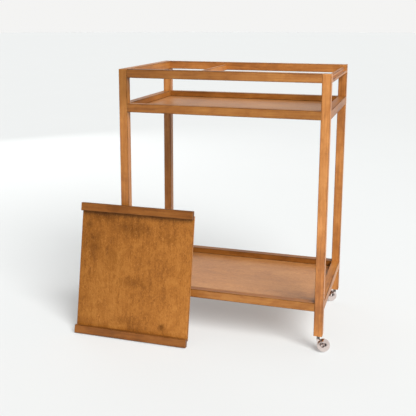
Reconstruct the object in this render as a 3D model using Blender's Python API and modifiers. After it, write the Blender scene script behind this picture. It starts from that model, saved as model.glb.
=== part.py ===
"""Rolling serving cart with two recessed shelves, a lift-out tray and four hooded ball casters.

Metres, +Z up. Lengths below are measured from the cart's left end (x), its front face (y) and the
floor (z). The whole model is then moved so that the origin is the bottom centre of its box.
"""
import math

import bmesh
import bpy
from mathutils import Matrix, Vector

# Frame
CART_LENGTH = 0.667
CART_DEPTH = 0.442
CART_HEIGHT = 0.866
STOCK = 0.027            # square section of posts and rails
UPPER_RAIL_TOP = 0.757   # top edge of the rails round the upper shelf
LOWER_RAIL_TOP = 0.160   # top edge of the rails round the lower shelf
ARRIS = 0.0012           # chamfer along every post and rail
GAP = 0.0003             # clearance between pieces that touch

# Stub tenons
TENON_THICKNESS = 0.009
TENON_HEIGHT = 0.017
TENON_LENGTH = 0.0085
TENON_RISE = 0.001       # tenon centre above the rail centre

# Shelf boards, let into a rabbet along the foot of the rails
BOARD_THICKNESS = 0.0075
BOARD_LAP = 0.0075       # how far the board reaches under the rails

# Tray bay in the top frame
SEAT_DROP = 0.008        # tray seats below the top of the frame
DIVIDER_LEFT = 0.233
DIVIDER_THICKNESS = 0.010
END_RAIL_THICKNESS = 0.018
LEDGE_DROP = 0.010       # step down from the seat to the outer ledge of the end rail

# Tray
TRAY_END_PLAY = 0.0038
TRAY_SIDE_PLAY = 0.001
TRAY_PANEL_THICKNESS = 0.010
BATTEN_WIDTH = 0.0265
BATTEN_THICKNESS = 0.016
BATTEN_OVERHANG = 0.0168
TRAY_LEFT = -0.132       # left end of the tray as it stands on the floor
TRAY_STAND_OFF = 0.0788  # foot of the tray ahead of the posts
SCREW_INSET = 0.060      # screws from the tray's two ends

# Tray screws
SCREW_HEAD_RADIUS = 0.0035
SCREW_HEAD_HEIGHT = 0.0025
SCREW_SHANK_RADIUS = 0.0018
SCREW_LENGTH = 0.020

# Casters
BALL_RADIUS = 0.02065
CASTER_NECK = 0.0112     # from the top of the ball to the foot of the post
CASTER_TRAIL = 0.0165
AXLE_TILT = math.radians(22)
SPLIT = 0.0004           # half the slit between hood and wheel
HOOD_WALL = 0.0022
HOOD_RECESS_RADIUS = 0.0058
HOOD_RECESS_DEPTH = 0.0026
HOOD_BOSS_RADIUS = 0.0058
AXLE_RADIUS = 0.0025
AXLE_HEAD_RADIUS = 0.0040
AXLE_HEAD_HEIGHT = 0.0016
HUB_DEPTH = 0.0147       # wheel hub, from the slit to the outer axle head
CAP_RADIUS = 0.0052
CAP_THICKNESS = 0.0018
NECK_RADIUS = 0.0062
NECK_ROOT_RADIUS = 0.0036
NECK_CLEARANCE = 0.0010
STEM_RADIUS = 0.0040
STEM_RISE = 0.032        # stem above the foot of the post
SOCKET_WALL = 0.0016
SOCKET_DEPTH = 0.036
SOCKET_FLANGE_RADIUS = 0.0085
SOCKET_FLANGE = 0.0010
CORNER_SWIVEL = {
    "front_left": math.radians(-25),
    "front_right": math.radians(0),
    "back_left": math.radians(160),
    "back_right": math.radians(145),
}

AROUND = 24              # facets round a ball
SMALL_AROUND = 16        # facets round a pin
ARC_STEPS = 6            # facets from a ball's rim to its pole

# Worked out from the sizes above
POST_FOOT = 2 * BALL_RADIUS + CASTER_NECK
INNER_LEFT, INNER_RIGHT = STOCK, CART_LENGTH - STOCK
INNER_FRONT, INNER_BACK = STOCK, CART_DEPTH - STOCK
SEAT_HEIGHT = CART_HEIGHT - SEAT_DROP
TOP_RAIL_FOOT = CART_HEIGHT - STOCK
END_RAIL_LEFT = CART_LENGTH - END_RAIL_THICKNESS
PANEL_LENGTH = END_RAIL_LEFT - (DIVIDER_LEFT + DIVIDER_THICKNESS) - 2 * TRAY_END_PLAY
TRAY_LENGTH = PANEL_LENGTH + 2 * BATTEN_OVERHANG
TRAY_WIDTH = INNER_BACK - INNER_FRONT - 2 * TRAY_SIDE_PLAY
TRAY_THICKNESS = TRAY_PANEL_THICKNESS + BATTEN_THICKNESS
LEAN = math.asin((TRAY_STAND_OFF - GAP) / (TRAY_LENGTH - BATTEN_OVERHANG))
STEM_PLACE = {
    "front_left": (STOCK / 2, STOCK / 2),
    "front_right": (CART_LENGTH - STOCK / 2, STOCK / 2),
    "back_left": (STOCK / 2, CART_DEPTH - STOCK / 2),
    "back_right": (CART_LENGTH - STOCK / 2, CART_DEPTH - STOCK / 2),
}


def ball_reach(sign_x, sign_y):
    """How far the balls reach along one direction, from the cart's left front corner."""
    reach = []
    for corner, (x, y) in STEM_PLACE.items():
        turn = CORNER_SWIVEL[corner]
        centre_x = x + CASTER_TRAIL * math.cos(turn)
        centre_y = y + CASTER_TRAIL * math.sin(turn)
        reach.append(sign_x * centre_x + sign_y * centre_y + BALL_RADIUS)
    return max(reach)


TRAY_FRONT = TRAY_STAND_OFF + TRAY_THICKNESS * math.cos(LEAN)
BOX_LEFT = min(TRAY_LEFT, -ball_reach(-1, 0))
BOX_RIGHT = max(CART_LENGTH, ball_reach(1, 0), TRAY_LEFT + TRAY_WIDTH)
BOX_FRONT = min(-TRAY_FRONT, -ball_reach(0, -1))
BOX_BACK = max(CART_DEPTH, ball_reach(0, 1))


def clear_scene():
    for old in list(bpy.data.objects):
        bpy.data.objects.remove(old)


def new_collection(name):
    collection = bpy.data.collections.new(name)
    bpy.context.scene.collection.children.link(collection)
    return collection


clear_scene()
PARTS = new_collection("serving_cart")
CUTTERS = new_collection("cutters")
CUTTERS.hide_render = True


def new_material(name, color, roughness, metallic):
    material = bpy.data.materials.new(name)
    material.use_nodes = True
    shader = material.node_tree.nodes["Principled BSDF"]
    shader.inputs["Base Color"].default_value = (*color, 1)
    shader.inputs["Roughness"].default_value = roughness
    shader.inputs["Metallic"].default_value = metallic
    return material


WOODS = {
    "post": (0.46, 0.17, 0.045),
    "rail": (0.43, 0.16, 0.042),
    "shelf": (0.50, 0.24, 0.105),
    "tray": (0.42, 0.165, 0.040),
    "batten": (0.30, 0.105, 0.026),
}
METALS = {
    "nickel": (0.86, 0.78, 0.74),
    "steel": (0.60, 0.60, 0.62),
}


def finish_piece(obj, finish):
    """Gives the object a material of its own in one of the finishes."""
    if finish in METALS:
        material = new_material(obj.name, METALS[finish], 0.15, 1.0)
    else:
        material = new_material(obj.name, WOODS[finish], 0.45, 0.0)
    obj.data.materials.clear()
    obj.data.materials.append(material)


def new_empty(name, place, parent=None, turn=(0, 0, 0)):
    empty = bpy.data.objects.new(name, None)
    empty.location = place
    empty.rotation_euler = turn
    empty.parent = parent
    PARTS.objects.link(empty)
    return empty


def add_object(name, mesh, place=(0, 0, 0), parent=None, collection=PARTS):
    obj = bpy.data.objects.new(name, mesh)
    obj.location = place
    obj.parent = parent
    collection.objects.link(obj)
    return obj


def mesh_from(bm, name):
    bmesh.ops.recalc_face_normals(bm, faces=bm.faces)
    mesh = bpy.data.meshes.new(name)
    bm.to_mesh(mesh)
    bm.free()
    return mesh


def block_bmesh(size):
    bm = bmesh.new()
    bmesh.ops.create_cube(bm, size=1.0, matrix=Matrix.Diagonal((*size, 1)))
    return bm


def add_cutter(name, mesh, place=(0, 0, 0), parent=None):
    cutter = add_object(name, mesh, place, parent, CUTTERS)
    cutter.hide_render = True
    cutter.display_type = "WIRE"
    return cutter


def block_cutter(name, low, high, parent=None):
    low, high = Vector(low), Vector(high)
    return add_cutter(name, mesh_from(block_bmesh(high - low), name), (low + high) / 2, parent)


def add_boolean(obj, other, operation="DIFFERENCE"):
    modifier = obj.modifiers.new(operation.lower(), "BOOLEAN")
    modifier.operation = operation
    modifier.object = other
    modifier.solver = "EXACT"


def add_arris(obj):
    """Chamfers the edges whose bevel weight is set."""
    modifier = obj.modifiers.new("arris", "BEVEL")
    modifier.width = ARRIS
    modifier.segments = 1
    modifier.limit_method = "WEIGHT"


def mark_edges(bm, axis):
    """Sets the bevel weight of the edges that run along the axis."""
    weight = bm.edges.layers.float.new("bevel_weight_edge")
    for edge in bm.edges:
        run = (edge.verts[1].co - edge.verts[0].co).normalized()
        edge[weight] = 1.0 if abs(run[axis]) > 0.99 else 0.0


def add_block(name, low, high, finish, parent, chamfer_axis=None):
    low, high = Vector(low), Vector(high)
    bm = block_bmesh(high - low)
    if chamfer_axis is not None:
        mark_edges(bm, chamfer_axis)
    obj = add_object(name, mesh_from(bm, name), (low + high) / 2, parent)
    if chamfer_axis is not None:
        add_arris(obj)
    finish_piece(obj, finish)
    return obj


def grow_tenon(bm, face, across, size, rise):
    """Draws a stub tenon out of a rail's end face."""
    normal = face.normal.copy()
    bmesh.ops.inset_individual(bm, faces=[face], thickness=ARRIS)
    centre = face.calc_center_median()
    for vert in face.verts:
        for axis, full in ((across, size[0]), (2, size[1])):
            side = math.copysign(full / 2, vert.co[axis] - centre[axis])
            vert.co[axis] = centre[axis] + side
        vert.co.z += rise
    grown = bmesh.ops.extrude_discrete_faces(bm, faces=[face])["faces"]
    bmesh.ops.translate(bm, verts=grown[0].verts, vec=normal * size[2])


def add_rail(name, low, high, along, parent, finish="rail", tenon=None, rise=TENON_RISE):
    """A rail with a stub tenon at each end; along is 0 or 1 for a rail that runs along x or y."""
    low, high = Vector(low), Vector(high)
    bm = block_bmesh(high - low)
    mark_edges(bm, along)
    bm.faces.ensure_lookup_table()
    ends = [face for face in bm.faces if abs(face.normal[along]) > 0.9]
    for face in ends:
        grow_tenon(bm, face, 1 - along, tenon or TENON, rise)
    obj = add_object(name, mesh_from(bm, name), (low + high) / 2, parent)
    add_arris(obj)
    finish_piece(obj, finish)
    MORTISES.append((low, high, along, tenon or TENON, rise))
    return obj


TENON = (TENON_THICKNESS, TENON_HEIGHT, TENON_LENGTH)
SLIM_TENON = (DIVIDER_THICKNESS / 2, TENON_HEIGHT - SEAT_DROP, TENON_LENGTH)
MORTISES = []


def mortise_boxes():
    """The hollow that each tenon needs, with its clearance, as (low, high) corners."""
    for low, high, along, (thickness, height, length), rise in MORTISES:
        middle = (low + high) / 2
        for end, sign in ((low[along], -1), (high[along], 1)):
            first, last = Vector(middle), Vector(middle)
            first[1 - along] -= thickness / 2 + GAP
            last[1 - along] += thickness / 2 + GAP
            first.z += rise - height / 2 - GAP
            last.z += rise + height / 2 + GAP
            # The cutter starts inside the rail, so that it clears the face it enters.
            first[along], last[along] = sorted((end - sign * STOCK / 4, end + sign * (length + GAP)))
            yield first, last


def boxes_mesh(name, boxes):
    bm = bmesh.new()
    for low, high in boxes:
        middle = Matrix.Translation((low + high) / 2)
        bmesh.ops.create_cube(bm, size=1.0, matrix=middle @ Matrix.Diagonal((*(high - low), 1)))
    return mesh_from(bm, name)


def touches(box, low, high):
    return all(box[0][axis] < high[axis] and box[1][axis] > low[axis] for axis in range(3))


def turned_object(name, profile, around, closed=False, parent=None, place=(0, 0, 0), cutter=False):
    """A profile of (radius, height) points, turned about z. It runs down its outer side."""
    mesh = bpy.data.meshes.new(name)
    count = len(profile)
    edges = [(i, i + 1) for i in range(count - 1)]
    if closed:
        edges.append((count - 1, 0))
    mesh.from_pydata([(radius, 0, height) for radius, height in profile], edges, [])
    obj = add_cutter(name, mesh, place, parent) if cutter else add_object(name, mesh, place, parent)
    screw = obj.modifiers.new("turn", "SCREW")
    screw.steps = around
    screw.render_steps = around
    screw.use_merge_vertices = True
    screw.merge_threshold = 0.00001
    screw.use_smooth_shade = True
    return obj


def arc(radius, high, low, steps=ARC_STEPS):
    """Points on a ball's outline between two heights, from the upper to the lower."""
    first, last = math.asin(high / radius), math.asin(low / radius)
    angles = [first + (last - first) * i / steps for i in range(steps + 1)]
    return [(radius * math.cos(angle), radius * math.sin(angle)) for angle in angles]


def baked_mesh(obj, name):
    """The object's mesh with its modifiers applied."""
    graph = bpy.context.evaluated_depsgraph_get()
    mesh = bpy.data.meshes.new_from_object(obj.evaluated_get(graph))
    mesh.name = name
    return mesh


def shade_round(mesh):
    mesh.shade_smooth()
    mesh.set_sharp_from_angle(angle=math.radians(35))


# ---------------------------------------------------------------- wooden frame

def build_frame(cart):
    """The posts, the three rings of rails and the divider. Returns the shelf rails by shelf."""
    rings = {"upper": UPPER_RAIL_TOP, "lower": LOWER_RAIL_TOP}
    shelf_rails = {}
    for shelf, top in rings.items():
        foot = top - STOCK
        shelf_rails[shelf] = [
            add_rail(f"{shelf}_rail_front", (INNER_LEFT + GAP, 0, foot), (INNER_RIGHT - GAP, STOCK, top),
                     0, cart),
            add_rail(f"{shelf}_rail_back", (INNER_LEFT + GAP, INNER_BACK, foot),
                     (INNER_RIGHT - GAP, CART_DEPTH, top), 0, cart),
            add_rail(f"{shelf}_rail_left", (0, INNER_FRONT + GAP, foot), (STOCK, INNER_BACK - GAP, top),
                     1, cart),
            add_rail(f"{shelf}_rail_right", (INNER_RIGHT, INNER_FRONT + GAP, foot),
                     (CART_LENGTH, INNER_BACK - GAP, top), 1, cart),
        ]
    front = add_rail("top_rail_front", (INNER_LEFT + GAP, 0, TOP_RAIL_FOOT),
                     (INNER_RIGHT - GAP, STOCK, CART_HEIGHT), 0, cart)
    back = add_rail("top_rail_back", (INNER_LEFT + GAP, INNER_BACK, TOP_RAIL_FOOT),
                    (INNER_RIGHT - GAP, CART_DEPTH, CART_HEIGHT), 0, cart)
    add_rail("top_rail_left", (0, INNER_FRONT + GAP, TOP_RAIL_FOOT),
             (STOCK, INNER_BACK - GAP, CART_HEIGHT), 1, cart)
    build_end_rail(cart)
    add_rail("divider_rail", (DIVIDER_LEFT, INNER_FRONT + GAP, TOP_RAIL_FOOT),
             (DIVIDER_LEFT + DIVIDER_THICKNESS, INNER_BACK - GAP, SEAT_HEIGHT), 1, cart,
             tenon=SLIM_TENON, rise=0)
    hollows = list(mortise_boxes())
    for rail in (front, back):
        cut_hollows(rail, hollows, rail.location, (STOCK / 2,) * 3, long_axis=0)
    for corner, (x, y) in STEM_PLACE.items():
        build_post(corner, x, y, hollows, cart)
    return shelf_rails


def build_end_rail(cart):
    """The right end rail of the top frame: a lip that carries the tray, and a lower outer ledge."""
    rail = add_rail("top_rail_right", (END_RAIL_LEFT, INNER_FRONT + GAP, TOP_RAIL_FOOT),
                    (CART_LENGTH, INNER_BACK - GAP, SEAT_HEIGHT), 1, cart,
                    tenon=SLIM_TENON, rise=-LEDGE_DROP / 4)
    ledge = block_cutter("ledge_cutter",
                         (END_RAIL_LEFT + DIVIDER_THICKNESS, INNER_FRONT - STOCK, SEAT_HEIGHT - LEDGE_DROP),
                         (CART_LENGTH + STOCK, INNER_BACK + STOCK, CART_HEIGHT), cart)
    add_boolean(rail, ledge)


def cut_hollows(obj, hollows, centre, half, long_axis):
    """Cuts from the object the mortises that reach into its box."""
    low, high = Vector(centre) - Vector(half), Vector(centre) + Vector(half)
    low[long_axis], high[long_axis] = -1.0, 1.0
    if long_axis == 0:
        low[long_axis], high[long_axis] = INNER_LEFT + STOCK, INNER_RIGHT - STOCK
    found = [box for box in hollows if touches(box, low, high)]
    name = obj.name + "_mortises"
    add_boolean(obj, add_cutter(name, boxes_mesh(name, found), parent=obj.parent))


def build_post(corner, x, y, hollows, cart):
    name = f"post_{corner}"
    half = STOCK / 2
    post = add_block(name, (x - half, y - half, POST_FOOT), (x + half, y + half, CART_HEIGHT),
                     "post", cart, chamfer_axis=2)
    cut_hollows(post, hollows, (x, y, 0), (half, half, 0), long_axis=2)
    hole_radius = STEM_RADIUS + GAP + SOCKET_WALL + GAP
    hole_top = POST_FOOT + SOCKET_DEPTH + GAP
    profile = [(0, hole_top), (hole_radius, hole_top), (hole_radius, POST_FOOT - STOCK), (0, POST_FOOT - STOCK)]
    bore = turned_object(f"{name}_bore", profile, SMALL_AROUND, parent=cart, place=(x, y, 0), cutter=True)
    add_boolean(post, bore)


def build_board(shelf, top, rails, cart):
    """The shelf board, notched round the posts, in a rabbet along the foot of its four rails."""
    foot = top - STOCK
    left, right = INNER_LEFT - BOARD_LAP, INNER_RIGHT + BOARD_LAP
    front, back = INNER_FRONT - BOARD_LAP, INNER_BACK + BOARD_LAP
    board = add_block(f"{shelf}_shelf_board", (left, front, foot), (right, back, foot + BOARD_THICKNESS),
                      "shelf", cart)
    notches = []
    for x, y in STEM_PLACE.values():
        reach = Vector((STOCK / 2 + GAP, STOCK / 2 + GAP, STOCK))
        middle = Vector((x, y, foot))
        notches.append((middle - reach, middle + reach))
    name = f"{shelf}_board_notches"
    add_boolean(board, add_cutter(name, boxes_mesh(name, notches), parent=cart))
    rabbet = block_cutter(f"{shelf}_rabbet", (left - GAP, front - GAP, foot - STOCK),
                          (right + GAP, back + GAP, foot + BOARD_THICKNESS + GAP), cart)
    for rail in rails:
        add_boolean(rail, rabbet)


# ------------------------------------------------------------------------ tray

def screw_profile(extra, reach):
    """A countersunk screw, head up. extra widens it into its hole; reach lengthens both ends."""
    head = SCREW_HEAD_RADIUS + extra
    shank = SCREW_SHANK_RADIUS + extra
    tip = -SCREW_LENGTH - extra
    return [(0, reach), (head, reach), (head, 0), (shank, -SCREW_HEAD_HEIGHT), (shank, tip), (0, tip)]


def build_tray(cart):
    """The tray on its foot, leaning back on the left front post.

    In its own frame z runs up the tray, y goes back through its thickness from the front of the
    battens to the back of the panel at 0, and x runs along the battens.
    """
    foot_height = TRAY_PANEL_THICKNESS * math.sin(LEAN)
    tray = new_empty("tray_axis", (TRAY_LEFT, -TRAY_STAND_OFF, -foot_height), cart, (-LEAN, 0, 0))
    panel = add_block("tray_panel", (0, -TRAY_PANEL_THICKNESS + GAP, BATTEN_OVERHANG),
                      (TRAY_WIDTH, 0, TRAY_LENGTH - BATTEN_OVERHANG), "tray", tray, chamfer_axis=0)
    places = {"foot": 0.0, "head": TRAY_LENGTH - BATTEN_WIDTH}
    for end, low in places.items():
        batten = add_block(f"tray_batten_{end}", (0, -TRAY_THICKNESS, low),
                           (TRAY_WIDTH, -TRAY_PANEL_THICKNESS, low + BATTEN_WIDTH), "batten", tray,
                           chamfer_axis=0)
        lap = (BATTEN_WIDTH - BATTEN_OVERHANG) / 2
        height = BATTEN_OVERHANG + lap if end == "foot" else TRAY_LENGTH - BATTEN_OVERHANG - lap
        for side, x in (("left", SCREW_INSET), ("right", TRAY_WIDTH - SCREW_INSET)):
            build_tray_screw(f"tray_screw_{end}_{side}", (x, 0, height), (panel, batten), tray)


def build_tray_screw(name, place, pieces, tray):
    """One screw from the back of the panel into the batten, with its hole in both."""
    screw = turned_object(name, screw_profile(0, 0), SMALL_AROUND, parent=tray, place=place)
    screw.rotation_euler = (math.radians(-90), 0, 0)
    finish_piece(screw, "steel")
    hole = turned_object(name + "_hole", screw_profile(GAP, GAP), SMALL_AROUND, parent=tray,
                         place=place, cutter=True)
    hole.rotation_euler = (math.radians(-90), 0, 0)
    for piece in pieces:
        add_boolean(piece, hole)


# --------------------------------------------------------------------- casters

def hood_profile():
    bore = AXLE_RADIUS + GAP
    seat = BALL_RADIUS - HOOD_RECESS_DEPTH
    recess_top = math.sqrt(BALL_RADIUS ** 2 - HOOD_RECESS_RADIUS ** 2)
    inner = BALL_RADIUS - HOOD_WALL
    boss_top = math.sqrt(inner ** 2 - HOOD_BOSS_RADIUS ** 2)
    outside = arc(BALL_RADIUS, recess_top, SPLIT)
    inside = [point for point in reversed(arc(inner, boss_top, SPLIT))]
    return ([(bore, seat), (HOOD_RECESS_RADIUS, seat)] + outside + inside
            + [(HOOD_BOSS_RADIUS, SPLIT), (bore, SPLIT)])


def wheel_profile():
    bore = AXLE_RADIUS + GAP
    rim = -SPLIT
    hub_foot = -HUB_DEPTH
    cap_edge = CAP_RADIUS + GAP
    cap_seat = -math.sqrt(BALL_RADIUS ** 2 - cap_edge ** 2)
    pocket = -HUB_DEPTH / 2
    face = [(HOOD_BOSS_RADIUS + HOOD_WALL, rim), (HOOD_BOSS_RADIUS + HOOD_WALL, pocket),
            (BALL_RADIUS - 3 * HOOD_WALL, pocket), (BALL_RADIUS - 2 * HOOD_WALL, rim)]
    return [(bore, rim)] + face + arc(BALL_RADIUS, rim, cap_seat) + [(cap_edge, hub_foot), (bore, hub_foot)]


def axle_profile():
    """A shank with a riveted head at each end."""
    upper = BALL_RADIUS - HOOD_RECESS_DEPTH + GAP
    lower = -HUB_DEPTH - GAP
    crown = AXLE_HEAD_RADIUS * 0.55
    return [(0, upper + AXLE_HEAD_HEIGHT), (crown, upper + AXLE_HEAD_HEIGHT),
            (AXLE_HEAD_RADIUS, upper + AXLE_HEAD_HEIGHT / 3), (AXLE_HEAD_RADIUS, upper), (AXLE_RADIUS, upper),
            (AXLE_RADIUS, lower), (AXLE_HEAD_RADIUS, lower), (AXLE_HEAD_RADIUS, lower - AXLE_HEAD_HEIGHT),
            (0, lower - AXLE_HEAD_HEIGHT)]


def cap_profile():
    """The hub cap, whose outside carries on the ball's curve."""
    edge = -math.sqrt(BALL_RADIUS ** 2 - CAP_RADIUS ** 2)
    under = edge + CAP_THICKNESS
    return [(0, under), (CAP_RADIUS, under)] + arc(BALL_RADIUS, edge, -BALL_RADIUS, steps=2)


def neck_profile():
    top = POST_FOOT - SOCKET_FLANGE - GAP - NECK_CLEARANCE
    root = 1.2 * BALL_RADIUS
    shoulder = 1.62 * BALL_RADIUS
    return [(0, STEM_FOOT - GAP), (STEM_RADIUS + GAP, STEM_FOOT - GAP), (STEM_RADIUS + GAP, top),
            (NECK_RADIUS, top), (NECK_RADIUS, shoulder), (NECK_ROOT_RADIUS, root), (0, root)]


STEM_REACH = CASTER_TRAIL - STEM_RADIUS - GAP     # from the ball's centre to the near side of the stem
STEM_FOOT = BALL_RADIUS + math.sqrt(BALL_RADIUS ** 2 - STEM_REACH ** 2) + NECK_CLEARANCE


def stem_profile():
    top = POST_FOOT + STEM_RISE
    groove = STEM_RADIUS - 2 * GAP
    return [(0, top), (STEM_RADIUS / 2, top), (STEM_RADIUS, top - STEM_RADIUS / 2),
            (STEM_RADIUS, top - 1.5 * STEM_RADIUS), (groove, top - 1.6 * STEM_RADIUS),
            (groove, top - 2.1 * STEM_RADIUS), (STEM_RADIUS, top - 2.2 * STEM_RADIUS),
            (STEM_RADIUS, STEM_FOOT), (0, STEM_FOOT)]


def socket_profile():
    inner = STEM_RADIUS + GAP
    outer = inner + SOCKET_WALL
    top = POST_FOOT + SOCKET_DEPTH
    flange_top = POST_FOOT - GAP
    flange_foot = flange_top - SOCKET_FLANGE
    return [(inner, top), (outer, top), (outer, flange_top), (SOCKET_FLANGE_RADIUS, flange_top),
            (SOCKET_FLANGE_RADIUS, flange_foot), (inner, flange_foot)]


def hood_mesh():
    """The hood with its neck: a half shell, plus a turned neck cut clear of ball and wheel."""
    swivel = new_empty("pattern_swivel", (0, 0, 0))
    ball = new_empty("pattern_ball", (CASTER_TRAIL, 0, BALL_RADIUS), swivel, (math.pi / 2 - AXLE_TILT, 0, 0))
    hood = turned_object("pattern_hood", hood_profile(), AROUND, closed=True, parent=ball, cutter=True)
    neck = turned_object("pattern_neck", neck_profile(), SMALL_AROUND, parent=swivel, cutter=True)
    core = BALL_RADIUS - HOOD_WALL / 2
    inside = turned_object("pattern_core", [(0, core)] + arc(core, 0.99 * core, -0.99 * core, 2 * ARC_STEPS)
                           + [(0, -core)], AROUND, parent=ball, cutter=True)
    swept = BALL_RADIUS + 2 * GAP
    wheel_room = turned_object("pattern_wheel_room", [(0, SPLIT)] + arc(swept, SPLIT, -0.99 * swept)
                               + [(0, -swept)], AROUND, parent=ball, cutter=True)
    add_boolean(neck, inside)
    add_boolean(neck, wheel_room)
    bpy.context.view_layer.update()
    add_boolean(hood, neck, "UNION")
    mesh = baked_mesh(hood, "caster_hood")
    mesh.transform(ball.matrix_world)
    for obj in (hood, neck, inside, wheel_room, ball, swivel):
        bpy.data.objects.remove(obj)
    shade_round(mesh)
    return mesh


def build_casters(cart):
    shared_hood = hood_mesh()
    for corner, (x, y) in STEM_PLACE.items():
        prefix = f"caster_{corner}"
        swivel = new_empty(f"{prefix}_swivel_axis", (x, y, 0), cart, (0, 0, CORNER_SWIVEL[corner]))
        ball = new_empty(f"{prefix}_wheel_axis", (CASTER_TRAIL, 0, BALL_RADIUS), swivel,
                         (math.pi / 2 - AXLE_TILT, 0, 0))
        hood = add_object(f"{prefix}_hood", shared_hood.copy(), parent=swivel)
        finish_piece(hood, "nickel")
        turned = (
            ("socket", socket_profile(), SMALL_AROUND, True, cart, (x, y, 0), "steel"),
            ("stem", stem_profile(), SMALL_AROUND, False, swivel, (0, 0, 0), "steel"),
            ("axle", axle_profile(), SMALL_AROUND, False, ball, (0, 0, 0), "nickel"),
            ("wheel", wheel_profile(), AROUND, True, ball, (0, 0, 0), "nickel"),
            ("hub_cap", cap_profile(), AROUND, False, ball, (0, 0, 0), "nickel"),
        )
        for piece, profile, around, closed, parent, place, finish in turned:
            obj = turned_object(f"{prefix}_{piece}", profile, around, closed, parent, place)
            finish_piece(obj, finish)


def build_cart():
    centre = ((BOX_LEFT + BOX_RIGHT) / 2, (BOX_FRONT + BOX_BACK) / 2)
    cart = new_empty("cart_corner", (-centre[0], -centre[1], 0))
    shelf_rails = build_frame(cart)
    build_board("upper", UPPER_RAIL_TOP, shelf_rails["upper"], cart)
    build_board("lower", LOWER_RAIL_TOP, shelf_rails["lower"], cart)
    build_tray(cart)
    build_casters(cart)


build_cart()
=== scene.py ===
import math

import bmesh
import bpy
from mathutils import Matrix, Vector


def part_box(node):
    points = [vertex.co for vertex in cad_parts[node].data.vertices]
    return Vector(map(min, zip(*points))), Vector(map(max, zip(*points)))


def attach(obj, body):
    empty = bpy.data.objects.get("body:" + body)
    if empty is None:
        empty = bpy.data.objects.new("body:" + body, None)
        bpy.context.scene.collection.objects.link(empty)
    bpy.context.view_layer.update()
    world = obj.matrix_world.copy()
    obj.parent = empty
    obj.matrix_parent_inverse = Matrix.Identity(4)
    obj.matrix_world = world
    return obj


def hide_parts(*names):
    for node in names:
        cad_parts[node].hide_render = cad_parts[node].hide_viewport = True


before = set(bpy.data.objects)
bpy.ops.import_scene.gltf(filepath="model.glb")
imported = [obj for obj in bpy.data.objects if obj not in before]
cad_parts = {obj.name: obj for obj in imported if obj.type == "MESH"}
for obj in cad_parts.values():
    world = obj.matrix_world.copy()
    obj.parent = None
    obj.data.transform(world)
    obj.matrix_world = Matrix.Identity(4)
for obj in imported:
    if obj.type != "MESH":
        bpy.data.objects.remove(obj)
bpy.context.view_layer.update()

# ---------------------------------------------------------------- sizes, in metres
MM = 0.001
STOCK = 27 * MM                  # square section of posts and rails
EASE = 1.5 * MM                  # rounding along posts and rails
END_EASE = 0.35 * MM             # rounding where a rail butts against a post
WEAR_AND_HIGHLIGHT_WIDTH = 1.1 * MM            # width of the paler band beside a rounded edge: rubbed wear and painted highlight
JOINT = 0.04 * MM                # glue line between a rail and a post
LARGE_FACE = 60 * MM * MM        # faces from this area get a paler margin of wear and painted highlight
SLIVER = 0.05 * MM               # unless one of their edges is this short
BOARD_LAP = 7.5 * MM             # how far a shelf board reaches under its rails
RABBET_HEIGHT = 7.8 * MM
NOTCH_PLAY = 0.1 * MM            # room round a post in a shelf board's notch
LIP_THICKNESS = 10 * MM          # lip of the end rail that keeps the tray in its bay
LEDGE_DROP = 10 * MM             # step down from the lip to the ledge outside it

TRAY_LENGTH = 432 * MM
TRAY_WIDTH = 386 * MM
PANEL_THICKNESS = 10 * MM
BATTEN_WIDTH = 26.5 * MM
BATTEN_THICKNESS = 16 * MM
BATTEN_OVERHANG = 16.8 * MM
PANEL_GAP = 0.1 * MM             # between the panel's face and its battens
SCREW_INSET = 60 * MM
TRAY_STAND_OFF = 78.8 * MM
TRAY_GAP = 0.3 * MM
LEAN = math.asin((TRAY_STAND_OFF - TRAY_GAP) / (TRAY_LENGTH - BATTEN_OVERHANG))

BALL = 20.65 * MM
TRAIL = 16.5 * MM
AXLE_TILT = math.radians(22)
SPLIT = 0.4 * MM
SWIVEL = {"front_left": -25, "front_right": 0, "back_left": 160, "back_right": 145}
CORNERS = tuple(SWIVEL)


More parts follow.
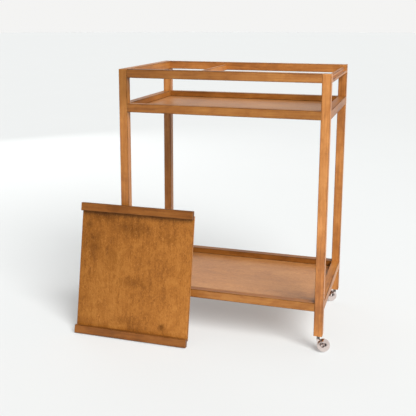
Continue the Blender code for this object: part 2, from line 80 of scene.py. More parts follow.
# ---------------------------------------------------------------- materials
class Finish:
    """A material under construction: makes nodes and joins them."""

    def __init__(self, name):
        self.material = bpy.data.materials.new(name)
        self.material.use_nodes = True
        self.tree = self.material.node_tree
        self.shader = self.tree.nodes["Principled BSDF"]

    def node(self, kind, inputs=(), **settings):
        made = self.tree.nodes.new("ShaderNode" + kind)
        for key, value in settings.items():
            setattr(made, key, value)
        for key, value in dict(inputs).items():
            self.feed(made.inputs[key], value)
        return made

    def feed(self, socket, value):
        if isinstance(value, bpy.types.NodeSocket):
            self.tree.links.new(value, socket)
        else:
            socket.default_value = value

    def math(self, operation, first, second=0.0, third=0.0, clamp=False):
        made = self.node("Math", {0: first, 1: second, 2: third}, operation=operation, use_clamp=clamp)
        return made.outputs[0]

    def vector(self, operation, first, second):
        return self.node("VectorMath", {0: first, 1: second}, operation=operation).outputs[0]

    def noise(self, vector, detail=3.0, roughness=0.55, distortion=0.0):
        made = self.node("TexNoise", {"Vector": vector, "Scale": 1.0, "Detail": detail,
                                      "Roughness": roughness, "Distortion": distortion})
        return made.outputs["Fac"]

    def spread(self, value, low, high, to_low=0.0, to_high=1.0):
        made = self.node("MapRange", {"Value": value, "From Min": low, "From Max": high,
                                      "To Min": to_low, "To Max": to_high}, clamp=True)
        return made.outputs["Result"]

    def scaled(self, vector, scale, shift=(0, 0, 0)):
        made = self.node("Mapping", {"Vector": vector, "Location": shift, "Scale": scale})
        return made.outputs["Vector"]

    def ramp(self, value, stops):
        made = self.node("ValToRGB", {"Fac": value})
        elements = made.color_ramp.elements
        while len(elements) < len(stops):
            elements.new(0.5)
        for element, (position, color) in zip(elements, stops):
            element.position = position
            element.color = (*color, 1)
        return made.outputs["Color"]

    def mix(self, amount, first, second, blend="MIX"):
        made = self.node("Mix", {"Factor": amount}, data_type="RGBA", blend_type=blend)
        for socket, value in ((made.inputs[6], first), (made.inputs[7], second)):
            self.feed(socket, value if isinstance(value, bpy.types.NodeSocket) else (*value, 1))
        return made.outputs[2]

    def bump(self, height, strength, distance, below=None):
        made = self.node("Bump", {"Height": height, "Strength": strength, "Distance": distance})
        if below is not None:
            self.feed(made.inputs["Normal"], below)
        return made.outputs["Normal"]

    def set(self, **values):
        names = {"color": "Base Color", "roughness": "Roughness", "normal": "Normal", "metallic": "Metallic",
                 "coat": "Coat Weight", "coat_roughness": "Coat Roughness", "specular": "Specular IOR Level",
                 "glow": "Emission Strength", "glow_color": "Emission Color"}
        for key, value in values.items():
            self.feed(self.shader.inputs[names[key]], value)
        return self.material


class Surroundings(Finish):
    """The world's node tree, built with the same helpers."""

    def __init__(self, name):
        self.world = bpy.data.worlds.new(name)
        self.world.use_nodes = True
        self.tree = self.world.node_tree
        self.shader = self.tree.nodes["Background"]

    def toward(self, heading, direction, wide, narrow):
        """1 for headings within an angle of a direction, falling to 0 at a wider angle."""
        aim = Vector(direction).normalized()
        facing = self.node("VectorMath", {0: heading, 1: tuple(aim)}, operation="DOT_PRODUCT")
        edge, core = math.cos(math.radians(wide)), math.cos(math.radians(narrow))
        return self.spread(facing.outputs["Value"], edge, core)


STAIN = {   # dark, middle and light colour of a stained part
    "frame": ((0.255, 0.088, 0.020), (0.435, 0.168, 0.041), (0.585, 0.262, 0.078)),
    "shelf": ((0.300, 0.120, 0.038), (0.450, 0.200, 0.070), (0.560, 0.280, 0.112)),
    "tray": ((0.190, 0.064, 0.012), (0.385, 0.146, 0.028), (0.540, 0.235, 0.060)),
    "batten": ((0.200, 0.068, 0.014), (0.340, 0.122, 0.027), (0.450, 0.185, 0.050)),
}
DEEPEN = (1.0, 1.15, 1.8)        # how fast red, green and blue fall as the stain gets darker
FLECK_TINT = (0.42, 0.36, 0.30)  # multiplies the colour of short dark flecks
PORE_TINT = (0.50, 0.42, 0.36)   # and of the fine open pores


def toned(tone):
    return [tone ** power for power in DEEPEN]


def stained_maple(name, along, seed, stain="frame", blotch=0.8, lean=0.0, roughness=0.42, coat=0.05,
                  specular=0.35, tone=1.0, light_drifts=(), mottled=False, marks=()):
    """Satin lacquered maple with its grain along one axis, 0, 1 or 2, of the piece's own frame.

    tone darkens the stain. Each light drift (axis, start, stop, tone at start, tone at stop) is painted light
    and shade, lighter or darker from one place on the piece to another. Mottled wood has cloudy figure
    instead of long bands. Each mark (place, radii, tone) is a darker patch or small knot.
    """
    finish = Finish(name)
    place = finish.node("TexCoord")
    turned = finish.node("Mapping", {"Vector": place.outputs["Object"], "Rotation": (lean, 0, 0),
                                     "Location": (seed * 1.37, seed * 2.11, seed * 0.83)}).outputs[0]

    def grained(across, run):
        return finish.scaled(turned, [run if axis == along else across for axis in range(3)])

    waver = finish.noise(grained(9, 2.2), 2, 0.5)
    bands = finish.noise(grained(26, 1.6), 3, 0.5, 1.2)
    fibre = finish.noise(grained(240, 7), 4, 0.62, 0.4)
    hair = finish.noise(grained(900, 22), 2, 0.6)
    blot = finish.noise(grained(30, 16), 4, 0.62, 0.9)
    cloud = finish.noise(grained(7, 4.5), 2, 0.5)
    if mottled:
        mottle = finish.noise(grained(46, 30), 3, 0.6, 1.6)
        curly = finish.noise(grained(150, 70), 3, 0.62, 2.4)
        shares = [(waver, 0.20), (bands, 0.10), (fibre, 0.20), (blot, 0.30), (cloud, 0.30), (mottle, 0.26),
                  (curly, 0.46)]
    else:
        curl = finish.noise(grained(13, 95), 2, 0.55, 0.6)
        shares = [(waver, 0.20), (bands, 0.34), (fibre, 0.46), (blot, 0.55 * blotch), (cloud, 0.60 * blotch),
                  (curl, 0.09 * blotch)]
    depth = 0.0
    for pattern, share in shares:
        depth = finish.math("MULTIPLY_ADD", pattern, share, depth)
    middle = sum(share for pattern, share in shares) / 2
    depth = finish.spread(depth, middle - 0.19, middle + 0.19)
    shades = [[part * share for part, share in zip(shade, toned(tone))] for shade in STAIN[stain]]
    dark, mid, light = shades
    color = finish.ramp(depth, ((0.0, dark), (0.5, mid), (1.0, light)))
    # Painted light and shade: each drift makes the stain lighter or darker along the piece.
    for axis, start, stop, first, last in light_drifts:
        where = finish.node("SeparateXYZ", {0: place.outputs["Object"]}).outputs[axis]
        shift = finish.mix(finish.spread(where, start, stop), toned(first), toned(last))
        color = finish.mix(1.0, color, shift, "MULTIPLY")
    for spot, radii, shade in marks:
        offset = finish.vector("SUBTRACT", place.outputs["Object"], spot)
        offset = finish.vector("DIVIDE", offset, radii)
        distance = finish.node("VectorMath", {0: offset}, operation="LENGTH").outputs["Value"]
        ragged = finish.math("MULTIPLY_ADD", blot, 0.9, finish.math("SUBTRACT", distance, 0.45))
        color = finish.mix(finish.spread(ragged, 1.0, 0.25), color, toned(shade), "MULTIPLY")

    if mottled:
        squiggle = finish.noise(grained(210, 120), 2, 0.5, 1.8)
        flecks = finish.spread(squiggle, 0.60, 0.70)
        glints = finish.math("MULTIPLY", finish.spread(squiggle, 0.39, 0.31), 0.30)
        color = finish.mix(glints, color, [min(1.0, 1.25 * part + 0.02) for part in light])
    else:
        flecks = finish.spread(finish.noise(grained(330, 62), 3, 0.55), 0.60, 0.72)
    color = finish.mix(finish.math("MULTIPLY", flecks, 0.38), color, FLECK_TINT, "MULTIPLY")
    pores = finish.spread(hair, 0.60, 0.74)
    color = finish.mix(finish.math("MULTIPLY", pores, 0.25), color, PORE_TINT, "MULTIPLY")

    # End grain is darker and has no long fibres.
    normal = finish.node("Mapping", {"Vector": place.outputs["Normal"], "Rotation": (lean, 0, 0)}).outputs[0]
    facing = finish.node("SeparateXYZ", {0: normal}).outputs[along]
    ends = finish.spread(finish.math("ABSOLUTE", facing), 0.85, 0.97)
    ring = finish.noise(finish.scaled(turned, (230, 230, 230)), 3, 0.6)
    end_color = finish.ramp(ring, ((0.35, [0.55 * part for part in dark]),
                                   (0.65, [0.80 * part for part in mid])))
    color = finish.mix(ends, color, end_color)

    # Edges are paler: partly rubbed wear showing the wood under the stain, partly a painted highlight along
    # them.
    wear_and_highlight = finish.node("Attribute", attribute_name="wear_and_highlight").outputs["Fac"]
    patchy = finish.spread(finish.noise(finish.scaled(turned, (55, 55, 55)), 3, 0.6), 0.30, 0.62)
    worn_and_highlit = finish.math("MULTIPLY", finish.math("MULTIPLY", wear_and_highlight, patchy), 0.42)
    color = finish.mix(worn_and_highlit, color, [min(1.0, 1.35 * part + 0.03) for part in light])

    height = finish.math("MULTIPLY_ADD", fibre, 0.5, finish.math("MULTIPLY", pores, -0.6))
    normal = finish.bump(height, 0.22, 0.25 * MM)
    orange_peel = finish.noise(finish.scaled(turned, (95, 95, 95)), 2, 0.5)
    normal = finish.bump(orange_peel, 0.05, 0.6 * MM, normal)
    gloss = finish.math("MULTIPLY_ADD", blot, 0.14, roughness - 0.07)
    gloss = finish.math("MULTIPLY_ADD", pores, 0.12, gloss)
    gloss = finish.math("MULTIPLY_ADD", ends, 0.15, gloss, clamp=True)
    return finish.set(color=color, roughness=gloss, normal=normal, coat=coat, coat_roughness=0.32,
                      specular=specular)


def plated(name, seed, color=(0.80, 0.69, 0.65), roughness=0.12):
    """Bright plated shell with faint hazing and hairline scratches."""
    finish = Finish(name)
    spot = finish.node("TexCoord").outputs["Object"]
    shift = (seed, seed * 0.7, seed * 1.3)
    haze = finish.noise(finish.scaled(spot, (160, 160, 160), shift), 4, 0.6)
    hairline = finish.noise(finish.scaled(spot, (420, 420, 5200), shift), 2, 0.5)
    scratch = finish.spread(hairline, 0.63, 0.70)
    tint = finish.mix(finish.spread(haze, 0.3, 0.7), color, [0.93 * part for part in color])
    tint = finish.mix(finish.math("MULTIPLY", scratch, 0.25), tint, [0.7 * part for part in color])
    gloss = finish.math("MULTIPLY_ADD", haze, 0.10, roughness - 0.04)
    gloss = finish.math("MULTIPLY_ADD", scratch, 0.10, gloss)
    normal = finish.bump(haze, 0.03, 0.2 * MM)
    return finish.set(color=tint, roughness=gloss, normal=normal, metallic=1.0)


def turned_steel(name, seed, dull=(0.34, 0.33, 0.32), bright=(0.58, 0.575, 0.57)):
    """Plain machined steel with fine turning marks round its axis."""
    finish = Finish(name)
    spot = finish.node("TexCoord").outputs["Object"]
    shift = (seed, seed * 0.9, seed * 1.1)
    rings = finish.noise(finish.scaled(spot, (60, 60, 5200), shift), 3, 0.6)
    grime = finish.noise(finish.scaled(spot, (260, 260, 260), shift), 4, 0.6)
    tint = finish.ramp(grime, ((0.30, dull), (0.60, bright)))
    gloss = finish.math("MULTIPLY_ADD", rings, 0.18, 0.22)
    normal = finish.bump(rings, 0.12, 0.1 * MM)
    return finish.set(color=tint, roughness=gloss, normal=normal, metallic=1.0)


# ---------------------------------------------------------------- mesh helpers
def finished(name, bm, material, body, node=None, smooth=35):
    """Turns a bmesh into a piece that rides on a body and stands for a node."""
    mesh = bpy.data.meshes.new(name)
    bm.to_mesh(mesh)
    bm.free()
    mesh.shade_smooth()
    mesh.set_sharp_from_angle(angle=math.radians(smooth))
    mesh.materials.append(material)
    piece = bpy.data.objects.new(name, mesh)
    bpy.context.scene.collection.objects.link(piece)
    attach(piece, body)
    if node:
        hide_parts(node)
    return piece


def extruded(outline, along, start, stop):
    """Extrudes an outline, drawn in the other two axes in order, along one axis."""
    bm = bmesh.new()
    corners = []
    for first, second in outline:
        point = [first, second]
        point.insert(along, start)
        corners.append(bm.verts.new(point))
    face = bm.faces.new(corners)
    grown = bmesh.ops.extrude_face_region(bm, geom=[face])["geom"]
    push = Vector((0, 0, 0))
    push[along] = stop - start
    bmesh.ops.translate(bm, verts=[item for item in grown if isinstance(item, bmesh.types.BMVert)], vec=push)
    bmesh.ops.recalc_face_normals(bm, faces=bm.faces)
    return bm


def rectangle(low, high):
    return ((low[0], low[1]), (high[0], low[1]), (high[0], high[1]), (low[0], high[1]))


def runs_along(edge, axis):
    return abs((edge.verts[1].co - edge.verts[0].co).normalized()[axis]) > 0.99


def eased(bm, along, ease=EASE, end_ease=END_EASE, segments=4):
    """Rounds the long edges, then the ends, and marks the paler bands beside the long edges: wear and painted
    highlight.
    """
    long_edges = [edge for edge in bm.edges if runs_along(edge, along)]
    bmesh.ops.bevel(bm, geom=long_edges, offset=ease, segments=segments, profile=0.5, affect="EDGES",
                    material=-1)
    ends = [edge for edge in bm.edges if not runs_along(edge, along) and edge.is_manifold
            and edge.calc_face_angle(0) > 1.0]
    bmesh.ops.bevel(bm, geom=ends, offset=end_ease, segments=2, profile=0.5, affect="EDGES", material=-1)
    return marked(bm)


def marked(bm):
    """Gives each large face a margin, so that the paler edge band of wear and painted highlight fades within
    it.
    """
    wear_and_highlight = bm.verts.layers.float.new("wear_and_highlight")
    large = []
    for face in bm.faces:
        shortest = min(edge.calc_length() for edge in face.edges)
        if shortest > 3 * WEAR_AND_HIGHLIGHT_WIDTH or (face.calc_area() > LARGE_FACE and shortest > SLIVER):
            large.append(face)
    for vert in bm.verts:
        vert[wear_and_highlight] = 1.0
    bmesh.ops.inset_individual(bm, faces=large, thickness=WEAR_AND_HIGHLIGHT_WIDTH)
    for face in large:
        for vert in face.verts:
            vert[wear_and_highlight] = 0.0
    return bm


def profile_bmesh(points, around, closed):
    """Spins (radius, height) points about z."""
    bm = bmesh.new()
    verts = [bm.verts.new((radius, 0, height)) for radius, height in points]
    edges = [bm.edges.new(pair) for pair in zip(verts, verts[1:])]
    if closed:
        edges.append(bm.edges.new((verts[-1], verts[0])))
    bmesh.ops.spin(bm, geom=verts + edges, cent=(0, 0, 0), axis=(0, 0, 1), angle=math.tau, steps=around,
                   use_merge=True)
    bmesh.ops.remove_doubles(bm, verts=bm.verts, dist=0.002 * MM)
    bmesh.ops.dissolve_degenerate(bm, dist=0.002 * MM, edges=bm.edges)
    bmesh.ops.recalc_face_normals(bm, faces=bm.faces)
    return bm


def arc(radius, high, low, steps):
    first, last = math.asin(high / radius), math.asin(max(-1.0, low / radius))
    angles = [first + (last - first) * i / steps for i in range(steps + 1)]
    return [(max(0.0, radius * math.cos(angle)), radius * math.sin(angle)) for angle in angles]


def rounded(points, radius, steps=3, closed=False):
    """Rounds the corners of a profile, where its neighbours leave room."""
    out = []
    count = len(points)
    for index, point in enumerate(points):
        if not closed and index in (0, count - 1):
            out.append(point)
            continue
        here = Vector(point)
        before, after = Vector(points[index - 1]) - here, Vector(points[(index + 1) % count]) - here
        reach = min(radius, 0.4 * before.length, 0.4 * after.length)
        if before.angle(after, math.pi) > math.radians(150) or reach < 0.02 * MM:
            out.append(point)
            continue
        first, last = here + before.normalized() * reach, here + after.normalized() * reach
        for step in range(steps + 1):
            share = step / steps
            spot = first * (1 - share) ** 2 + here * 2 * share * (1 - share) + last * share ** 2
            out.append((max(0.0, spot.x), spot.y))
    return out


# ---------------------------------------------------------------- wooden frame
LEFT, FRONT, POST_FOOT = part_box("post_front_left")[0]
RIGHT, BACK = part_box("post_back_right")[1].xy
INNER = {0: (LEFT + STOCK, RIGHT - STOCK), 1: (FRONT + STOCK, BACK - STOCK)}

# Stain tone of each post, set per piece: partly the wood's own tone, partly painted shade on the darker left
# posts.
POST_TONE_AND_SHADE = {"front_left": 0.82, "front_right": 1.04, "back_left": 0.86, "back_right": 0.93}
# Painted light and shade along two posts: the front left one darker at its top, the front right one lightest
# about 0.2 m up, falling off above and below.
POST_PAINTED_LIGHT = {
    "front_left": ((2, 0.70, 0.79, 1.0, 0.62),),
    "front_right": ((2, 0.20, 0.50, 1.24, 1.0), (2, 0.11, 0.20, 0.84, 1.0)),
}
# Stain tone of each rail, set per piece: partly the wood's own tone, partly painted shade on the darker back
# rails of the shelves.
RAIL_TONE_AND_SHADE = {
    ("top", "front"): 0.67, ("top", "back"): 0.90, ("top", "left"): 0.80,
    ("upper", "front"): 0.61, ("upper", "back"): 0.58, ("upper", "left"): 0.66, ("upper", "right"): 0.67,
    ("lower", "front"): 0.69, ("lower", "back"): 0.56, ("lower", "left"): 0.66, ("lower", "right"): 0.80,
}


def make_posts():
    for number, corner in enumerate(CORNERS):
        node = f"post_{corner}"
        low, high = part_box(node)
        bm = extruded(rectangle(low.xy, high.xy), 2, low.z, high.z)
        eased(bm, 2, end_ease=0.9 * MM)
        wood = stained_maple(f"{corner}_post_maple", 2, 3.1 + 2.3 * number, tone=POST_TONE_AND_SHADE[corner],
                            light_drifts=POST_PAINTED_LIGHT.get(corner, ()))
        finished(f"{corner}_post", bm, wood, "frame", node)


def rail_outline(side, low, high, rabbet):
    """The section of a rail, from its low to its high corner, with a rabbet on its inner foot."""
    if not rabbet:
        return rectangle(low, high)
    (near, foot), (far, top) = low, high
    rise = foot + RABBET_HEIGHT
    if side in ("back", "right"):      # these rails have their inner face on the near side
        return ((near + BOARD_LAP, foot), (far, foot), (far, top), (near, top), (near, rise),
                (near + BOARD_LAP, rise))
    return ((near, foot), (far - BOARD_LAP, foot), (far - BOARD_LAP, rise), (far, rise), (far, top),
            (near, top))


def make_rails():
    seed = 20.0
    for ring in ("top", "upper", "lower"):
        for side in ("front", "back", "left", "right"):
            if (ring, side) == ("top", "right"):
                continue
            node = f"{ring}_rail_{side}"
            low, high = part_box(node)
            along = 0 if side in ("front", "back") else 1
            across = 1 - along
            outline = rail_outline(side, (low[across], low.z), (high[across], high.z), ring != "top")
            start, stop = INNER[along]
            bm = extruded(outline, along, start + JOINT, stop - JOINT)
            eased(bm, along)
            seed += 1.7
            # Painted light: the top front rail is darker at its left end and lighter at its right.
            light_drifts = ((0, LEFT, RIGHT, 0.66, 1.22),) if (ring, side) == ("top", "front") else ()
            wood = stained_maple(f"{ring}_{side}_rail_maple", along, seed, tone=RAIL_TONE_AND_SHADE[ring, side],
                                 light_drifts=light_drifts)
            finished(f"{ring}_{side}_rail", bm, wood, "frame", node)


def make_end_rail():
    """The thin right end rail: a lip for the tray and a lower ledge outside it."""
    low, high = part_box("top_rail_right")
    lip, ledge = low.x + LIP_THICKNESS, high.z - LEDGE_DROP
    outline = ((low.x, low.z), (high.x, low.z), (high.x, ledge), (lip, ledge), (lip, high.z), (low.x, high.z))
    start, stop = INNER[1]
    bm = extruded(outline, 1, start + JOINT, stop - JOINT)
    eased(bm, 1, ease=0.9 * MM)
    wood = stained_maple("end_rail_maple", 1, 44.0, tone=0.85)
    finished("tray_end_rail", bm, wood, "frame", "top_rail_right")
    low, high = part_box("divider_rail")
    bm = extruded(rectangle((low.x, low.z), (high.x, high.z)), 1, start + JOINT, stop - JOINT)
    eased(bm, 1, ease=1.1 * MM)
    wood = stained_maple("divider_maple", 1, 47.0, tone=1.0)
    finished("bottle_bay_divider", bm, wood, "frame", "divider_rail")


def make_shelves():
    for number, shelf in enumerate(("upper", "lower")):
        node = f"{shelf}_shelf_board"
        low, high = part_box(node)
        notch = BOARD_LAP + NOTCH_PLAY
        outline = []
        for x, y, turn in ((low.x, low.y, 0), (high.x, low.y, 1), (high.x, high.y, 2), (low.x, high.y, 3)):
            inward_x, inward_y = (notch if x == low.x else -notch), (notch if y == low.y else -notch)
            corner = [(x, y + inward_y), (x + inward_x, y + inward_y), (x + inward_x, y)]
            outline += corner if turn % 2 == 0 else corner[::-1]
        bm = extruded(outline, 2, low.z, high.z)
        bmesh.ops.bevel(bm, geom=[edge for edge in bm.edges if not runs_along(edge, 2)], offset=0.3 * MM,
                        segments=2, profile=0.5, affect="EDGES", material=-1)
        marked(bm)
        # Painted sheen: the upper board is lighter towards its left end.
        wood = stained_maple(f"{shelf}_board_maple", 0, 61.0 + 7.0 * number, "shelf", 0.75, roughness=0.38,
                             coat=0.08, specular=0.5, mottled=True, tone=(0.74, 0.88)[number],
                             light_drifts=((0, low.x, high.x, 1.24, 0.98),) if shelf == "upper" else ())
        board = finished(f"{shelf}_shelf", bm, wood, "frame", node)
        board.data.materials.append(stained_maple(
            f"{shelf}_board_underside", 0, 71.0 + 7.0 * number, "shelf", 0.75, roughness=0.72, coat=0.0,
            specular=0.08, tone=0.70))
        for face in board.data.polygons:
            face.material_index = 1 if face.normal.z < -0.9 else 0


# ---------------------------------------------------------------- tray
def tray_frame():
    """From the tray's own frame, z up its length and y to its back, to the world."""
    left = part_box("tray_panel")[0].x
    foot = Vector((left, FRONT - TRAY_STAND_OFF, -PANEL_THICKNESS * math.sin(LEAN)))
    return Matrix.Translation(foot) @ Matrix.Rotation(-LEAN, 4, "X")


def placed(bm, matrix):
    bmesh.ops.transform(bm, matrix=matrix, verts=bm.verts)
    return bm


# Darker patches of the tray: share of its width and height, half width, half height, tone
TRAY_MARKS = (
    (0.07, 0.87, 0.016, 0.022, 0.50), (0.12, 0.70, 0.030, 0.060, 0.74), (0.46, 0.85, 0.070, 0.032, 0.66),
    (0.20, 0.93, 0.060, 0.020, 0.72), (0.50, 0.42, 0.075, 0.026, 0.80), (0.30, 0.60, 0.050, 0.050, 0.86),
    (0.77, 0.09, 0.015, 0.017, 0.52), (0.80, 0.80, 0.050, 0.030, 0.86), (0.45, 0.10, 0.060, 0.020, 0.84),
)


def make_tray():
    stand = tray_frame()
    face = -PANEL_THICKNESS + PANEL_GAP
    top = TRAY_LENGTH - BATTEN_OVERHANG
    bm = extruded(rectangle((face, BATTEN_OVERHANG), (0, top)), 0, 0, TRAY_WIDTH)
    eased(bm, 0, ease=0.8 * MM, end_ease=0.8 * MM)
    panel_low, panel_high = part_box("tray_panel")
    # Painted light on the tray: darker at its left edge, lighter at its right, and a little darker towards
    # its head.
    light_drifts = ((0, panel_low.x, panel_high.x, 0.80, 1.12), (2, panel_low.z, panel_high.z, 0.95, 0.91))
    marks = []
    for across, up, wide, tall, shade in TRAY_MARKS:
        spot = (panel_low.x + across * TRAY_WIDTH, 0, panel_low.z + up * (panel_high.z - panel_low.z))
        marks.append((spot, (wide, 1.0, tall), shade))
    wood = stained_maple("tray_panel_maple", 2, 83.0, "tray", 1.0, LEAN, 0.46, tone=0.80, light_drifts=light_drifts,
                         mottled=True, marks=marks, coat=0.0, specular=0.22)
    finished("tray_board", placed(bm, stand), wood, "tray", "tray_panel")
    for number, (end, foot) in enumerate((("foot", 0.0), ("head", TRAY_LENGTH - BATTEN_WIDTH))):
        outer = -PANEL_THICKNESS - BATTEN_THICKNESS
        outline = rectangle((outer, foot), (-PANEL_THICKNESS, foot + BATTEN_WIDTH))
        bm = extruded(outline, 0, 0, TRAY_WIDTH)
        eased(bm, 0, ease=1.2 * MM, end_ease=0.7 * MM)
        wood = stained_maple(f"{end}_batten_maple", 0, 91.0 + 5.0 * number, "batten", 0.8, LEAN,
                             tone=(0.60, 0.56)[number])
        finished(f"tray_{end}_batten", placed(bm, stand), wood, "tray", f"tray_batten_{end}")
        lap = (BATTEN_WIDTH - BATTEN_OVERHANG) / 2
        height = BATTEN_OVERHANG + lap if end == "foot" else TRAY_LENGTH - BATTEN_OVERHANG - lap
        for side, x in (("left", SCREW_INSET), ("right", TRAY_WIDTH - SCREW_INSET)):
            place = stand @ Matrix.Translation((x, 0, height))
            make_screw(f"{end}_{side}", place, f"tray_screw_{end}_{side}")


def make_screw(name, place, node):
    """A countersunk screw whose head faces the tray's back, with a cross recess."""
    head, shank, depth, length = 3.5 * MM, 1.8 * MM, 2.5 * MM, 20 * MM
    threads = [(0, -0.15 * MM), (head - 0.4 * MM, -0.15 * MM), (head, -0.45 * MM), (shank, -depth)]
    pitch, root = 1.2 * MM, shank * 0.72
    turn = -depth - 2 * pitch
    while turn > -length + 2 * pitch:
        threads += [(root, turn), (shank * 0.98, turn - 0.35 * pitch), (root, turn - 0.7 * pitch)]
        turn -= pitch
    threads += [(shank * 0.55, -length + 0.8 * pitch), (0, -length + 0.1 * pitch)]
    bm = profile_bmesh(threads, 28, False)
    top = [face for face in bm.faces if face.calc_center_median().z > -0.2 * MM]
    bmesh.ops.dissolve_faces(bm, faces=top)
    bm.faces.ensure_lookup_table()
    cap = max(bm.faces, key=lambda face: face.calc_center_median().z)
    bmesh.ops.inset_individual(bm, faces=[cap], thickness=1.6 * MM)
    for vert in cap.verts:
        angle = math.atan2(vert.co.y, vert.co.x)
        spoke = abs(math.cos(2 * angle)) ** 3
        vert.co.x, vert.co.y = (0.45 + 1.25 * spoke) * vert.co.xy.normalized() * MM
    grown = bmesh.ops.extrude_face_region(bm, geom=[cap])["geom"]
    inner = [item for item in grown if isinstance(item, bmesh.types.BMVert)]
    bmesh.ops.delete(bm, geom=[cap], context="FACES_ONLY")
    for vert in inner:
        vert.co = Vector((vert.co.x * 0.55, vert.co.y * 0.55, vert.co.z - 1.1 * MM))
    bmesh.ops.recalc_face_normals(bm, faces=bm.faces)
    placed(bm, place @ Matrix.Rotation(math.radians(-90), 4, "X"))
    finished(f"{name}_tray_screw", bm, turned_steel(f"{name}_screw_steel", 5.0), "tray", node)


# ---------------------------------------------------------------- casters
AXLE = 2.5 * MM                  # radii of the axle and of its bore
BORE = 2.8 * MM
WALL = 2.2 * MM                  # wall of the hood
RECESS = 4.9 * MM                # radius of the recess at its floor
DISH = 6.6 * MM                  # mouth of the dished recess round the axle head
SEAT = BALL - 4.6 * MM           # floor of the recess, from the middle of the ball
HUB = -14.7 * MM                 # foot of the wheel's hub
CAP = 5.2 * MM                   # radius of the hub cap
CAP_DEPTH = 1.8 * MM


def hood_profile():
    inner = BALL - WALL
    outside = arc(BALL, math.sqrt(BALL ** 2 - DISH ** 2), SPLIT, 22)
    inside = arc(inner, math.sqrt(inner ** 2 - (DISH + 1.2 * MM) ** 2), SPLIT, 16)[::-1]
    under = SEAT - 1.8 * MM
    sleeve = [(DISH, under), (RECESS, under), (RECESS, SPLIT), (BORE, SPLIT)]
    points = [(BORE, SEAT), (RECESS, SEAT)] + outside + inside + sleeve
    return rounded(points, 0.35 * MM, closed=True)


def wheel_profile():
    """The turning half of the ball, with two fine grooves beside its tread."""
    edge = CAP + 0.3 * MM
    rim = [(BORE, -SPLIT), (8 * MM, -SPLIT), (8 * MM, HUB / 2), (14 * MM, HUB / 2), (16.3 * MM, -SPLIT)]
    dome = []
    for radius, height in arc(BALL, -SPLIT, -math.sqrt(BALL ** 2 - edge ** 2), 44):
        angle = math.degrees(math.asin(-height / BALL))
        depth = 0.28 * MM if 8 < angle < 10.5 or 29 < angle < 31.5 else 0.0
        dome.append((radius * (1 - depth / BALL), height * (1 - depth / BALL)))
    points = rim + dome + [(edge - 0.2 * MM, HUB), (BORE, HUB)]
    return rounded(points, 0.3 * MM, closed=True)


def axle_profile():
    top, head, crown, dome_rise = SEAT + 0.3 * MM, 3.4 * MM, 1.6 * MM, 2.9 * MM
    end = HUB - 0.3 * MM
    dome = [(head * math.sin(turn), top + 0.6 * MM + dome_rise * math.cos(turn))
            for turn in [math.radians(angle) for angle in range(0, 91, 10)]]
    return dome + [(head, top), (AXLE, top), (AXLE, end), (head, end), (head, end - crown), (0, end - crown)]


def cap_profile():
    edge = -math.sqrt(BALL ** 2 - CAP ** 2)
    return [(0, edge + CAP_DEPTH), (CAP, edge + CAP_DEPTH)] + arc(BALL, edge, -BALL, 8)


def socket_profile():
    inner, outer = 4.3 * MM, 5.9 * MM
    top, flange = POST_FOOT + 36 * MM, POST_FOOT - 0.3 * MM
    points = [(inner, top), (outer, top), (outer, flange), (8.5 * MM, flange), (8.5 * MM, flange - 1 * MM),
              (inner, flange - 1 * MM)]
    return rounded(points, 0.4 * MM, closed=True)


def stem_profile(foot):
    top, radius, groove = POST_FOOT + 32 * MM, 4 * MM, 3.4 * MM
    points = [(0, top), (radius / 2, top), (radius, top - radius / 2), (radius, top - 1.5 * radius),
              (groove, top - 1.6 * radius), (groove, top - 2.1 * radius), (radius, top - 2.2 * radius),
              (radius, foot), (0, foot)]
    return rounded(points, 0.3 * MM)


# Height, lean and radius of each ring, in millimetres
NECK = ((50.2, 0, 4.9), (49.8, 0, 5.3), (47.0, 0, 5.3), (46.6, 0, 4.9), (40.4, 0, 4.9), (40, 0, 4.6))
SHOULDER = ((40.6, 0, 4.7), (40.3, 0, 5.1), (38.5, 0, 5.1), (35.5, -0.6, 4.9), (32.5, -1.6, 4.4),
            (29.8, -2.8, 3.8), (27.5, -3.9, 3.1))


def neck_bmesh(rings):
    """The boss under the post, or the shoulder on which it narrows into the side of the hood."""
    bm = bmesh.new()
    height, shift, radius = [value * MM for value in rings[0]]
    bmesh.ops.create_circle(bm, cap_ends=True, radius=radius, segments=40,
                            matrix=Matrix.Translation((0, shift, height)))
    bm.faces.ensure_lookup_table()
    face = bm.faces[0]
    for next_height, next_shift, next_radius in [[value * MM for value in ring] for ring in rings[1:]]:
        grown = bmesh.ops.extrude_face_region(bm, geom=[face])["geom"]
        verts = [item for item in grown if isinstance(item, bmesh.types.BMVert)]
        if height != rings[0][0] * MM:
            bmesh.ops.delete(bm, geom=[face], context="FACES_ONLY")
        face = next(item for item in grown if isinstance(item, bmesh.types.BMFace))
        share = next_radius / radius
        for vert in verts:
            vert.co = Vector((vert.co.x * share, (vert.co.y - shift) * share + next_shift, next_height))
        height, shift, radius = next_height, next_shift, next_radius
    bmesh.ops.recalc_face_normals(bm, faces=bm.faces)
    return bm


# Dark colours for the neck, which is plated like the hood: painted shade and dark reflection under the post.
NECK_SHADE_STEEL = ((0.10, 0.085, 0.075), (0.26, 0.23, 0.21))


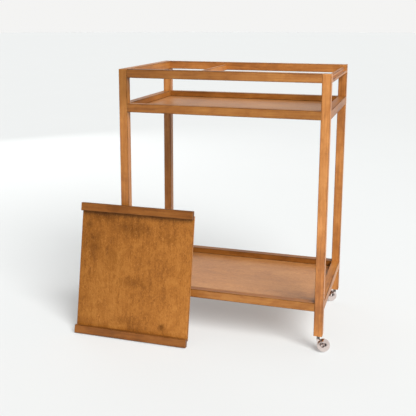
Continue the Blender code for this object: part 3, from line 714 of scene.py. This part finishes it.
def make_casters():
    for number, corner in enumerate(CORNERS):
        low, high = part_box(f"caster_{corner}_stem")
        middle = (low + high) / 2
        turn = Matrix.Rotation(math.radians(SWIVEL[corner]), 4, "Z")
        swivel = Matrix.Translation((middle.x, middle.y, 0)) @ turn
        tilt = Matrix.Rotation(math.pi / 2 - AXLE_TILT, 4, "X")
        ball = swivel @ Matrix.Translation((TRAIL, 0, BALL)) @ tilt
        turning, rolling = f"swivel_{corner}", f"wheel_{corner}"
        nickel = plated(f"{corner}_caster_nickel", 2.0 + number)
        tread = plated(f"{corner}_wheel_nickel", 12.0 + number, roughness=0.13)
        steel = turned_steel(f"{corner}_caster_steel", 20.0 + number)
        # The neck gets a darker finish than the hood: painted shade.
        shaded_neck_metal = turned_steel(f"{corner}_neck_shaded_steel", 30.0 + number, *NECK_SHADE_STEEL)
        pieces = (
            ("hood", profile_bmesh(hood_profile(), 72, True), ball, nickel, turning, "caster_nickel",
             "hood"),
            ("neck", neck_bmesh(NECK), swivel, shaded_neck_metal, turning, "caster_nickel", None),
            ("shoulder", neck_bmesh(SHOULDER), swivel, nickel, turning, "caster_nickel", None),
            ("axle", profile_bmesh(axle_profile(), 36, False), ball, nickel, turning, "caster_nickel",
             "axle"),
            ("stem", profile_bmesh(stem_profile(low.z), 36, False), swivel, steel, turning, "caster_steel",
             "stem"),
            ("socket", profile_bmesh(socket_profile(), 40, True), swivel, steel, "frame", "caster_steel",
             "socket"),
            ("wheel", profile_bmesh(wheel_profile(), 72, True), ball, tread, rolling, "caster_nickel",
             "wheel"),
            ("hub_cap", profile_bmesh(cap_profile(), 40, False), ball, nickel, rolling, "caster_nickel",
             "hub_cap"),
        )
        for kind, bm, place, material, body, slot, node in pieces:
            finished(f"{corner}_{kind}", placed(bm, place), material, body,
                     f"caster_{corner}_{node}" if node else None, smooth=40)


# ---------------------------------------------------------------- floor, light and camera
def make_floor():
    bm = bmesh.new()
    bmesh.ops.create_circle(bm, cap_ends=True, radius=40, segments=64)
    mesh = bpy.data.meshes.new("studio_floor")
    bm.to_mesh(mesh)
    bm.free()
    finish = Finish("pale_floor")
    spot = finish.node("TexCoord").outputs["Object"]
    cloud = finish.noise(finish.scaled(spot, (1.5, 1.5, 1.5)), 2, 0.5)
    tint = finish.mix(cloud, (0.488, 0.506, 0.510), (0.498, 0.516, 0.520))
    mesh.materials.append(finish.set(color=tint, roughness=0.9, specular=0.0, glow_color=(1.0, 1.0, 0.995, 1),
                                     glow=0.265))
    floor = bpy.data.objects.new("studio_floor", mesh)
    floor.location.z = -0.2 * MM
    bpy.context.scene.collection.objects.link(floor)


def add_light(name, kind, energy, color, aim_from, aim_at, **settings):
    data = bpy.data.lights.new(name, kind)
    data.energy = energy
    data.color = color
    for key, value in settings.items():
        setattr(data, key, value)
    light = bpy.data.objects.new(name, data)
    light.location = aim_from
    light.rotation_euler = (Vector(aim_at) - Vector(aim_from)).to_track_quat("-Z", "Y").to_euler()
    bpy.context.scene.collection.objects.link(light)
    return light


FAR_FLOOR = (0.905, 0.903, 0.893)
ROOM_FILL, ROOM_GLEAM, LAMP_GLEAM = 0.30, 0.80, 2.6
DARK_DEPTH = 0.93
# Direction, and the angles from it at which the dark starts and is full
DARK_SIDES = (((-0.42, -0.80, 0.42), 44, 26), ((0.62, -0.62, 0.42), 34, 20))
FRONT_LAMP = ((0.20, -0.88, 0.46), 15, 9)
KEY_SIDE = (0.557, -0.557, 0.616)


def make_light():
    scene = bpy.context.scene
    scene.view_settings.view_transform = "Standard"
    room = Surroundings("soft_studio")
    path = room.node("LightPath")
    heading = room.node("TexCoord").outputs["Generated"]
    # What a polished face sees: a bright room, a dark opening at the front and a lamp in its middle.
    dark = room.math("MAXIMUM", *[room.toward(heading, *side) for side in DARK_SIDES])
    gleam = room.math("MULTIPLY", ROOM_GLEAM, room.math("MULTIPLY_ADD", dark, -DARK_DEPTH, 1.0))
    lamp = room.math("MULTIPLY", room.toward(heading, *FRONT_LAMP), LAMP_GLEAM)
    gleam = room.math("MAXIMUM", gleam, lamp)
    room.feed(room.shader.inputs["Color"], (*FAR_FLOOR, 1))
    shown = room.shader.outputs[0]
    for ray, strength in (("Is Diffuse Ray", ROOM_FILL), ("Is Glossy Ray", gleam)):
        seen = room.node("Background", {"Color": (1.0, 0.985, 0.965, 1), "Strength": strength}).outputs[0]
        shown = room.node("MixShader", {"Fac": path.outputs[ray], 1: shown, 2: seen}).outputs[0]
    room.feed(room.tree.nodes["World Output"].inputs["Surface"], shown)
    scene.world = room.world
    key = add_light("key", "SUN", 4.7, (1.0, 0.992, 0.98), KEY_SIDE, (0, 0, 0), angle=math.radians(35))
    key.visible_glossy = False
    fill = add_light("back_fill", "AREA", 22.0, (1.0, 0.99, 0.98), (-2.6, 2.6, 1.5), (0, 0, 0.5), size=2.2,
                     shape="SQUARE")
    fill.visible_glossy = False
    side = add_light("right_softbox", "AREA", 9.0, (1.0, 0.99, 0.98), (2.4, 0.3, 1.0), (0, 0, 0.5), size=1.6,
                     shape="SQUARE")
    side.visible_glossy = False


LENS = 63.2
SHIFT = (0.0345, -0.12)
STANDPOINT = (0.6493, -2.3132, 1.038)
LOOK_DOWN, LOOK_LEFT = 11.20, 17.65


def make_camera():
    data = bpy.data.cameras.new("view")
    data.sensor_width = 36
    data.lens = LENS
    data.shift_x, data.shift_y = SHIFT
    camera = bpy.data.objects.new("view", data)
    camera.location = STANDPOINT
    camera.rotation_euler = (math.radians(90 - LOOK_DOWN), 0, math.radians(LOOK_LEFT))
    bpy.context.scene.collection.objects.link(camera)
    bpy.context.scene.camera = camera


make_posts()
make_rails()
make_end_rail()
make_shelves()
make_tray()
make_casters()
make_floor()
make_light()
make_camera()
